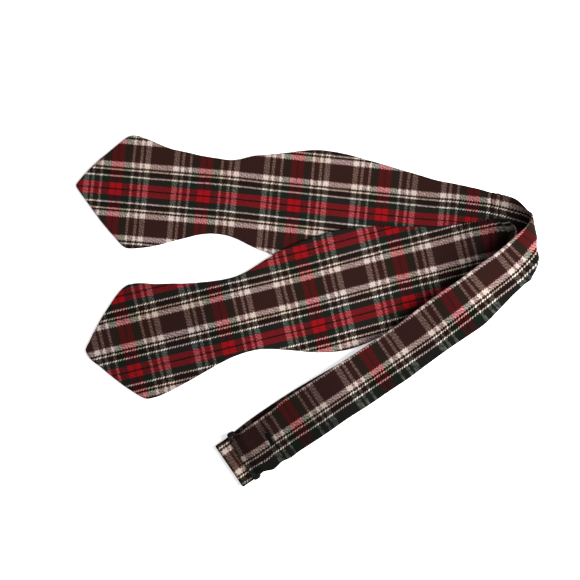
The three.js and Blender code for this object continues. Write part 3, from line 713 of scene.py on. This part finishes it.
def thread():
    k = Nodes("black_thread")
    pos = k.new("ShaderNodeTexCoord").outputs["Object"]
    ply = k.noise(k.vmath("MULTIPLY", pos, (9000.0, 9000.0, 4000.0)), 1.0, 2)
    k.put(k.bsdf.inputs["Base Color"], k.mix(ply, (.0008, .0008, .0008, 1), (.0045, .0038, .0035, 1)))
    k.put(k.bsdf.inputs["Roughness"], k.math("ADD", k.math("MULTIPLY", ply, 0.2), 0.55))
    k.bsdf.inputs["Specular IOR Level"].default_value = 0.04
    b = k.new("ShaderNodeBump"); b.inputs["Strength"].default_value = .4; b.inputs["Distance"].default_value = .00005
    k.put(b.inputs["Height"], ply); k.put(k.bsdf.inputs["Normal"], b.outputs[0])
    return k.m


m_blade_a = tartan("tartan_twill_blade_a", 0.899, 0.0)
m_blade_b = tartan("tartan_twill_blade_b", 0.899, 3.1)
m_band_a = tartan("tartan_twill_band_a", 0.899, 5.7)
m_band_b = tartan("tartan_twill_band_b", 0.899, 8.3)
m_canvas, m_enamel, m_thread = canvas(), enamel(), thread()


# ---- half A's end: gathered at the ring, puffed either side of the bar tack ----
CR, SR = math.cos(math.radians(RING_ANGLE)), math.sin(math.radians(RING_ANGLE))


def end_relief(Q):
    Q = Q.copy()
    x, y, z = Q[..., 0] - RING_MID[0], Q[..., 1] - RING_MID[1], Q[..., 2]
    a, l = x * CR + y * SR, -x * SR + y * CR
    top = smooth((z - 4.60) / 0.16) * (a > 0.5) * (a < 60)
    rim = smooth((12.9 - np.abs(l)) / 3.5)
    gather = 0.34 * (0.5 + 0.5 * np.cos(2 * math.pi * l / 5.9 + 0.7)) * np.exp(-np.maximum(a - 1, 0) / 5.5) * smooth((a - 0.8) / 2.5)
    r = a - TACK_AT
    groove = np.exp(-(r / 1.5) ** 2) * np.exp(-(l / 5.6) ** 4)
    puff = 0.62 * np.exp(-(r / 7.0) ** 2) * (1 - groove) * (0.82 + 0.18 * np.cos(2 * math.pi * l / 8.5))
    Q[..., 2] += top * rim * (gather + puff)
    # the lower edge puckers between the ring and the tack
    low = smooth((-l - 5.5) / 7) * smooth((a - 1.5) / 3)
    out = 0.75 * np.exp(-((a - 10.0) / 3.0) ** 2) - 0.45 * np.exp(-((a - 16.5) / 2.6) ** 2) + 0.35 * np.exp(-((a - 22.5) / 3.0) ** 2)
    high = smooth((l - 5.5) / 7) * smooth((a - 1.5) / 3)
    out_u = 0.30 * np.exp(-((a - 8.0) / 3.0) ** 2) - 0.25 * np.exp(-((a - 17) / 3.0) ** 2)
    drawn = 1.25 * smooth((z - 4.05) / 0.16) * smooth((a - 1.5) / 4) * smooth((36 - a) / 12) * high * (a < 60)
    dl = top * (-low * out + high * out_u) - drawn
    Q[..., 0] += -SR * dl
    Q[..., 1] += CR * dl
    # the turn bellies outwards, and its lower corner is a little crumpled
    X, Y = px(x + RING_MID[0], y + RING_MID[1])
    belly = 3.5 * smooth((Y - 209) / 6) * smooth((250 - Y) / 15) * smooth((X - 510) / 15)
    crumple = 1.7 * np.exp(-((Y - 280) / 2.8) ** 2) * smooth((X - 517) / 8)
    Q[..., 0] += PX * (belly + crumple) * (X > 500)
    Q[..., 1] += PX * (0.9 * np.exp(-((X - 498.5) / 2.0) ** 2) + 0.6 * np.exp(-((X - 493.6) / 1.4) ** 2)) * smooth((205 - Y) / 10) * (z < 3.0)
    return Q


NA, NB = normals_of(gA["P"]), normals_of(gB["P"])
NbA, NbB = normals_of(gbA["P"]), normals_of(gbB["P"])

# painted shade towards the turn on blade A's front panel
panel("blade_a_front_panel", 1, gA, NA, stack(*uvA), m_blade_a, "half_a", tone=painted_shade_a(px(gA["P"][..., 0], 0)[0]))
panel("blade_a_back_panel", -1, gA, NA, stack(-uvA[0] - 31, uvA[1] + 20), m_blade_a, "half_a")
core("blade_a_interlining", gA, NA, stack(*uvA), m_canvas, "half_a", 9, len(gA["L"]) - 4)
# painted shade towards the turn on blade B's front panel
panel("blade_b_front_panel", 1, gB, NB, stack(*uvB), m_blade_b, "half_b", tone=painted_shade_b(px(gB["P"][..., 0], 0)[0]))
panel("blade_b_back_panel", -1, gB, NB, stack(-uvB[0] - 52, uvB[1] + 14), m_blade_b, "half_b")
core("blade_b_interlining", gB, NB, stack(*uvB), m_canvas, "half_b", 9, len(gB["L"]) - 4)
panel("band_a_front_panel", 1, gbA, NbA, stack(U_fr, V_fr), m_band_a, "half_a", rows=A_END, relief=end_relief, tone=painted_shade_band_a_front)
panel("band_a_back_panel", -1, gbA, NbA, stack(-U_bk, V_bk), m_band_a, "half_a", relief=end_relief, tone=painted_shading_band_a)
core("band_a_interlining", gbA, NbA, stack(U_fr, V_fr), m_canvas, "half_a", 3, A_END - 3, relief=end_relief)
panel("band_b_front_panel", 1, gbB, NbB, stack(U_bf, V_bf), m_band_b, "half_b", tone=painted_shading_band_b)
panel("band_b_back_panel", -1, gbB, NbB, stack(-U_bf - 40, V_bf + 22), m_band_b, "half_b")
core("band_b_interlining", gbB, NbB, stack(U_bf, V_bf), m_canvas, "half_b", 3, len(gbB["s"]) - 4)


# ---- adjuster ring: a pressed rectangular keeper with soft rounded edges ----
def rounded_rect(hw, hh, r, n):
    pts = []
    for cx, cy, a0 in ((hw - r, hh - r, 0), (-hw + r, hh - r, 90), (-hw + r, -hh + r, 180), (hw - r, -hh + r, 270)):
        for k in range(n + 1):
            a = math.radians(a0 + 90 * k / n)
            pts.append((cx + r * math.cos(a), cy + r * math.sin(a)))
    return np.array(pts)


def ring():
    n = 10
    zc, hh = (RING_Z0 + RING_Z1) / 2, (RING_Z1 - RING_Z0) / 2
    outer = rounded_rect(RING_W / 2 + 0.55, hh, 1.75, n)
    inner = rounded_rect(RING_W / 2 - RING_SIDE, hh - RING_BAR, 0.22, n)
    # a section swept round the loop: superellipse between the inner and outer lines
    K = 20
    V = []
    for k in range(K):
        t = 2 * math.pi * k / K
        cs, sn = math.cos(t), math.sin(t)
        e = 0.55
        ux, uy = math.copysign(abs(cs) ** e, cs), math.copysign(abs(sn) ** e, sn)
        mid, half = (outer + inner) / 2, (outer - inner) / 2
        loop = mid + half * ux
        for p in loop:
            swell = 1 + 0.17 * float(smooth((abs(p[0]) - RING_W / 2 + RING_SIDE) / 0.6))
            swell *= 1 - 0.42 * float(np.clip((abs(p[0]) - RING_W / 2 + 0.75) / 1.3, 0, 1)) ** 2     # ends rounded off in plan too
            V.append((p[0], p[1], RING_DEPTH / 2 * uy * swell))
    V = np.array(V)
    M = len(outer)
    F = []
    for k in range(K):
        for i in range(M):
            k2, i2 = (k + 1) % K, (i + 1) % M
            F.append((k * M + i, k * M + i2, k2 * M + i2, k2 * M + i))
    X = RING_MID[0] + V[:, 0] * SR - V[:, 2] * CR
    Y = RING_MID[1] - V[:, 0] * CR - V[:, 2] * SR
    Z = zc + V[:, 1]
    me = bpy.data.meshes.new("adjuster_ring_keeper")
    me.from_pydata(((np.stack([X, Y, Z], 1) + SHIFT) * MM).tolist(), [], F)
    me.validate(); me.update()
    import bmesh
    bm = bmesh.new(); bm.from_mesh(me)
    bmesh.ops.recalc_face_normals(bm, faces=bm.faces)
    bm.to_mesh(me); bm.free()
    me.polygons.foreach_set("use_smooth", np.ones(len(me.polygons), bool))
    ob = bpy.data.objects.new("adjuster_ring_keeper", me)
    bpy.context.scene.collection.objects.link(ob)
    ob.data.materials.append(m_enamel)
    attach(ob, "half_a"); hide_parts("adjuster_ring")
    return ob


ring()


# ---- bar tack: close zigzag stitches over a short core ----
def tube(path, radius, sides=8):
    P = np.array(path, float)
    t = np.gradient(P, axis=0); t /= np.linalg.norm(t, axis=1, keepdims=True)
    ref = np.array([0, 0, 1.0])
    a = np.cross(t, ref); bad = np.linalg.norm(a, axis=1) < 1e-3
    a[bad] = (1, 0, 0); a /= np.linalg.norm(a, axis=1, keepdims=True)
    b = np.cross(a, t)
    ang = np.linspace(0, 2 * math.pi, sides, endpoint=False)
    V = P[:, None] + radius * (a[:, None] * np.cos(ang)[None, :, None] + b[:, None] * np.sin(ang)[None, :, None])
    n = len(P)
    F = [(i * sides + k, i * sides + (k + 1) % sides, (i + 1) * sides + (k + 1) % sides, (i + 1) * sides + k) for i in range(n - 1) for k in range(sides)]
    F.append(tuple(range(sides))[::-1]); F.append(tuple((n - 1) * sides + k for k in range(sides)))
    return V.reshape(-1, 3), F


def tack():
    V, F, base = [], [], 0
    length, width, height = TACK
    width, z0 = 2.3, WRAP_Z + WRAP_R + H + 0.16
    rng = np.random.default_rng(7)
    n = 25
    paths = []
    for k in range(n):
        l = -length / 2 + length * (k + .5) / n
        w = width / 2 * math.sqrt(max(0, 1 - (abs(l) / (length / 2)) ** 6)) * (0.93 + 0.1 * rng.random())
        lean = 0.10 * (1 if k % 2 else -1)
        th = np.linspace(math.pi * 1.02, -math.pi * .02, 11)
        paths.append([(w * math.cos(a), l + lean * math.cos(a), z0 + 0.10 + (height - 0.30) * max(math.sin(a), -.2)) for a in th])
    for off in (-.35, .35):
        th = np.linspace(-1, 1, 14)
        paths.append([(off, length / 2 * 0.98 * t, z0 + 0.10 + 0.12 * (1 - t ** 4)) for t in th])
    for p in paths:
        v, f = tube(p, 0.155)
        V.append(v); F += [tuple(i + base for i in q) for q in f]; base += len(v)
    V = np.vstack(V)
    X = RING_MID[0] + CR * (TACK_AT + V[:, 0]) - SR * (V[:, 1] + 0.3)
    Y = RING_MID[1] + SR * (TACK_AT + V[:, 0]) + CR * (V[:, 1] + 0.3)
    me = bpy.data.meshes.new("bar_tack_stitches")
    me.from_pydata(((np.stack([X, Y, V[:, 2]], 1) + SHIFT) * MM).tolist(), [], F)
    me.validate(); me.update()
    me.polygons.foreach_set("use_smooth", np.ones(len(me.polygons), bool))
    ob = bpy.data.objects.new("bar_tack_stitches", me)
    bpy.context.scene.collection.objects.link(ob)
    ob.data.materials.append(m_thread)
    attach(ob, "half_a"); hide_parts("bar_tack")
    return ob


tack()

# ---- sheets: cut sizes ----
def area_of(g, rows=None):
    P = g["P"][:rows]
    a = np.linalg.norm(np.cross(P[1:, :-1] - P[:-1, :-1], P[:-1, 1:] - P[:-1, :-1]), axis=2).sum()
    b = np.linalg.norm(np.cross(P[1:, :-1] - P[1:, 1:], P[:-1, 1:] - P[1:, 1:]), axis=2).sum()
    return float(a + b) / 2 * 1e-6


def cut(g, rows=None):
    s = g["s"][:rows]
    P = g["P"][:rows]
    return float(np.linalg.norm(P[:, -1] - P[:, 0], axis=1).max()) * MM, float(s[-1] - s[0]) * MM


for stem, g, rows, low in (("blade_a", gA, None, "floor"), ("blade_b", gB, None, "blade_a_front_panel_cloth"),
                           ("band_a", gbA, None, "band_b_back_panel_cloth"), ("band_b", gbB, None, "floor")):
    for side in ("front_panel", "interlining", "back_panel"):
        r = A_END if (stem == "band_a" and side != "back_panel") else rows
        w, l = cut(g, r)
        fac = 0.86 if side == "interlining" else 1.0
        ar = min(area_of(g, r) * fac, w * l)

# ---- floor, light, camera ----
me = bpy.data.meshes.new("floor")
me.from_pydata([(-3, -3, 0), (3, -3, 0), (3, 3, 0), (-3, 3, 0)], [], [(0, 1, 2, 3)])
floor = bpy.data.objects.new("floor", me)
bpy.context.scene.collection.objects.link(floor)
floor.location.z = -0.0001
kf = Nodes("white_paper")
kf.put(kf.bsdf.inputs["Base Color"], kf.mix(kf.noise(kf.new("ShaderNodeTexCoord").outputs["Object"], 60.0, 3), (.95, .95, .95, 1), (.98, .98, .98, 1)))
kf.bsdf.inputs["Roughness"].default_value = 0.9
kf.bsdf.inputs["Emission Color"].default_value = (1, 1, 1, 1)
kf.bsdf.inputs["Emission Strength"].default_value = 0.42
kf.bsdf.inputs["Specular IOR Level"].default_value = 0.1
floor.data.materials.append(kf.m)

scene = bpy.context.scene
scene.view_settings.view_transform = "Standard"
scene.view_settings.look = "None"
scene.view_settings.exposure = 0.0
scene.view_settings.gamma = 1.0
world = bpy.data.worlds.new("soft_room")
scene.world = world
world.use_nodes = True
world.node_tree.nodes["Background"].inputs["Color"].default_value = (1.0, 1.0, 1.0, 1)
world.node_tree.nodes["Background"].inputs["Strength"].default_value = 0.55


def area_light(name, loc, target, size, power):
    d = bpy.data.lights.new(name, "AREA")
    d.shape = "DISK"; d.size = size; d.energy = power
    o = bpy.data.objects.new(name, d)
    scene.collection.objects.link(o)
    o.location = loc
    o.rotation_euler = (Vector(target) - Vector(loc)).to_track_quat("-Z", "Y").to_euler()
    return o


area_light("key", (1.0, -0.05, 0.80), (0, 0, 0), 0.9, 43.0)

cam_data = bpy.data.cameras.new("camera")
cam = bpy.data.objects.new("camera", cam_data)
scene.collection.objects.link(cam)
cam_data.lens, cam_data.sensor_width = 300, 36
side = 580 * PX * MM
cam.location = ((290 - 307) * PX * MM + SHIFT[0] * MM, (311 - 290) * PX * MM + SHIFT[1] * MM, side / 2 / math.tan(math.atan(18 / 300)))
cam.rotation_euler = (0, 0, 0)
cam_data.clip_end = 20
scene.camera = cam
